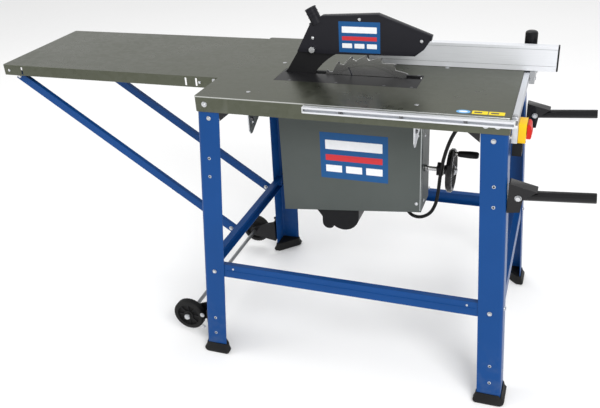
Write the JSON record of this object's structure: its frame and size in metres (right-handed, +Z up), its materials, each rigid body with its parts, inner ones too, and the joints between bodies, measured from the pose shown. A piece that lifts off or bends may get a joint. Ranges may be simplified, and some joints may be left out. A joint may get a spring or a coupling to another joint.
{
  "type": "table saw",
  "caption": "Free-standing site table saw: galvanised table with rear extension, tilting blade unit, hood on a riving knife, rip fence and splayed blue legs with wheels and folding handles.",
  "frame": {"origin": "centre of the bounding box of the whole saw, without its motor cable, on the floor", "axes": "+X towards the operator's end, where the handwheel and handles are; -X along the rear extension; +Y towards the rip fence; +Z up"},
  "size_m": [1.7434, 0.675, 0.9848],
  "materials": {
    "galvanised_sheet": "hot-dip galvanised steel sheet, olive grey with a faint spangle",
    "housing_grey": "grey painted steel sheet, satin",
    "blue_paint": "blue powder coat, semi-gloss",
    "black_paint": "black powder coat, satin",
    "black_plastic": "black moulded plastic, satin",
    "black_rubber": "black rubber, dull",
    "cable_rubber": "black rubber-sheathed cable",
    "bright_steel": "ground and brushed steel",
    "zinc_plated": "bright zinc-plated steel",
    "aluminium_extrusion": "extruded aluminium, lengthwise draw lines",
    "grey_cast": "grey cast metal",
    "yellow_plastic": "yellow moulded plastic",
    "red_plastic": "red moulded plastic",
    "green_plastic": "green moulded plastic"
  },
  "bodies": {
    "frame": {"table_top": "galvanised_sheet", "table_insert": "black_paint", "extension_table": "galvanised_sheet", "leg_rear_near": "blue_paint", "leg_rear_far": "blue_paint", "leg_front_near": "blue_paint", "leg_front_far": "blue_paint", "foot_rear_near": "black_rubber", "foot_rear_far": "black_rubber", "foot_front_near": "black_rubber", "foot_front_far": "black_rubber", "crossbar_near": "blue_paint", "crossbar_far": "blue_paint", "crossbar_rear": "blue_paint", "crossbar_front": "blue_paint", "strut_near": "blue_paint", "strut_far": "blue_paint", "guide_rail_near": "aluminium_extrusion", "fence_rail_front": "aluminium_extrusion", "hanger_plate_rear": "zinc_plated", "hanger_plate_front": "zinc_plated", "pivot_bracket_rear": "zinc_plated", "tilt_quadrant": "zinc_plated", "wheel_bracket_near": "black_paint", "wheel_bracket_far": "black_paint", "wheel_axle": "zinc_plated", "handle_bracket_near": "black_paint", "handle_bracket_far": "black_paint", "switch_bracket": "zinc_plated", "switch_housing": "yellow_plastic", "mains_inlet": "black_plastic", "cable_gland": "black_plastic", "motor_cable": "cable_rubber"},
    "saw_unit": {"blade_housing": "housing_grey", "dust_chute": "black_plastic"},
    "lift_unit": {"lift_carriage": "grey_cast", "motor_body": "grey_cast", "motor_fan_cover": "black_plastic", "riving_knife": "black_paint"},
    "blade": {"saw_blade": "bright_steel", "arbor_shaft": "bright_steel", "arbor_flange_nut": "bright_steel"},
    "guard": {"guard_hood": "black_paint", "guard_clamp_bolt": "zinc_plated"},
    "handwheel": {"handwheel": "black_plastic", "handwheel_shaft": "bright_steel", "crank_pin": "bright_steel"},
    "crank_grip": {"crank_grip": "black_plastic"},
    "lift_screw": {"lift_screw": "zinc_plated"},
    "shaft_lock": {"shaft_lock_knob": "black_plastic"},
    "tilt_lock": {"tilt_lock_knob": "black_plastic"},
    "fence_carriage": {"fence_carrier": "housing_grey"},
    "fence": {"fence_profile": "aluminium_extrusion"},
    "fence_clamp": {"fence_clamp_knob": "black_plastic"},
    "handle_near": {"handle_tube_near": "black_paint"},
    "handle_far": {"handle_tube_far": "black_paint"},
    "road_wheel_near": {"road_wheel_near": "black_rubber"},
    "road_wheel_far": {"road_wheel_far": "black_rubber"},
    "start_button": {"start_button": "green_plastic"},
    "stop_flap": {"stop_flap": "red_plastic"}
  },
  "joints": [
    {"name": "tilt", "type": "hinge", "parent": "frame", "child": "saw_unit", "pos_m": [0.27027, -0.043, 0.784], "axis": [-1, 0, 0], "range_deg": [0, 45], "deforming": ["motor_cable"]},
    {"name": "lift", "type": "slide", "parent": "saw_unit", "child": "lift_unit", "axis": [0, 0, 1], "range_m": [-0.042, 0.02]},
    {"name": "blade_spin", "type": "hinge", "parent": "lift_unit", "child": "blade", "pos_m": [0.27327, -0.043, 0.7], "axis": [0, 1, 0], "continuous": true},
    {"name": "guard_swing", "type": "hinge", "parent": "lift_unit", "child": "guard", "pos_m": [0.12527, -0.043, 0.869], "axis": [0, -1, 0], "range_deg": [0, 60]},
    {"name": "handwheel_turn", "type": "hinge", "parent": "saw_unit", "child": "handwheel", "pos_m": [0.51327, -0.075, 0.56], "axis": [-1, 0, 0], "range_deg": [-5041, 2401]},
    {"name": "lift_screw_turn", "type": "hinge", "parent": "saw_unit", "child": "lift_screw", "pos_m": [0.06527, -0.075, 0.65], "axis": [0, 0, 1], "range_deg": [-5041, 2401]},
    {"name": "crank_spin", "type": "hinge", "parent": "handwheel", "child": "crank_grip", "pos_m": [0.55527, -0.075, 0.61], "axis": [1, 0, 0], "continuous": true},
    {"name": "shaft_lock_turn", "type": "hinge", "parent": "saw_unit", "child": "shaft_lock", "pos_m": [0.48327, -0.075, 0.56], "axis": [1, 0, 0], "range_deg": [0, 360]},
    {"name": "tilt_lock_turn", "type": "hinge", "parent": "saw_unit", "child": "tilt_lock", "pos_m": [0.46027, -0.043, 0.699], "axis": [1, 0, 0], "range_deg": [0, 360]},
    {"name": "fence_slide", "type": "slide", "parent": "frame", "child": "fence_carriage", "axis": [0, 1, 0], "range_m": [-0.05, 0.115]},
    {"name": "fence_length_slide", "type": "slide", "parent": "fence_carriage", "child": "fence", "axis": [1, 0, 0], "range_m": [-0.05, 0.15]},
    {"name": "fence_clamp_turn", "type": "hinge", "parent": "fence_carriage", "child": "fence_clamp", "pos_m": [0.67827, 0.1144, 0.85], "axis": [0, 0, 1], "range_deg": [0, 360]},
    {"name": "handle_near_fold", "type": "hinge", "parent": "frame", "child": "handle_near", "pos_m": [0.70127, -0.2665, 0.605], "axis": [0, 1, 0], "range_deg": [0, 92]},
    {"name": "handle_far_fold", "type": "hinge", "parent": "frame", "child": "handle_far", "pos_m": [0.70127, 0.2665, 0.605], "axis": [0, 1, 0], "range_deg": [0, 92]},
    {"name": "road_wheel_near_spin", "type": "hinge", "parent": "frame", "child": "road_wheel_near", "pos_m": [-0.24473, -0.2715, 0.078], "axis": [0, 1, 0], "continuous": true},
    {"name": "road_wheel_far_spin", "type": "hinge", "parent": "frame", "child": "road_wheel_far", "pos_m": [-0.24473, 0.2715, 0.078], "axis": [0, 1, 0], "continuous": true},
    {"name": "start_button_push", "type": "slide", "parent": "frame", "child": "start_button", "axis": [1, 0, 0], "range_m": [-0.0025, 0], "stiffness_N_per_m": 400},
    {"name": "stop_flap_swing", "type": "hinge", "parent": "frame", "child": "stop_flap", "pos_m": [0.70757, -0.205, 0.764], "axis": [0, -1, 0], "range_deg": [-1.5, 85]}
  ],
  "couplings": [
    {"joint": "handwheel_turn", "follows": "lift", "rad_per_m": 2094.4},
    {"joint": "lift_screw_turn", "follows": "lift", "rad_per_m": 2094.4}
  ]
}
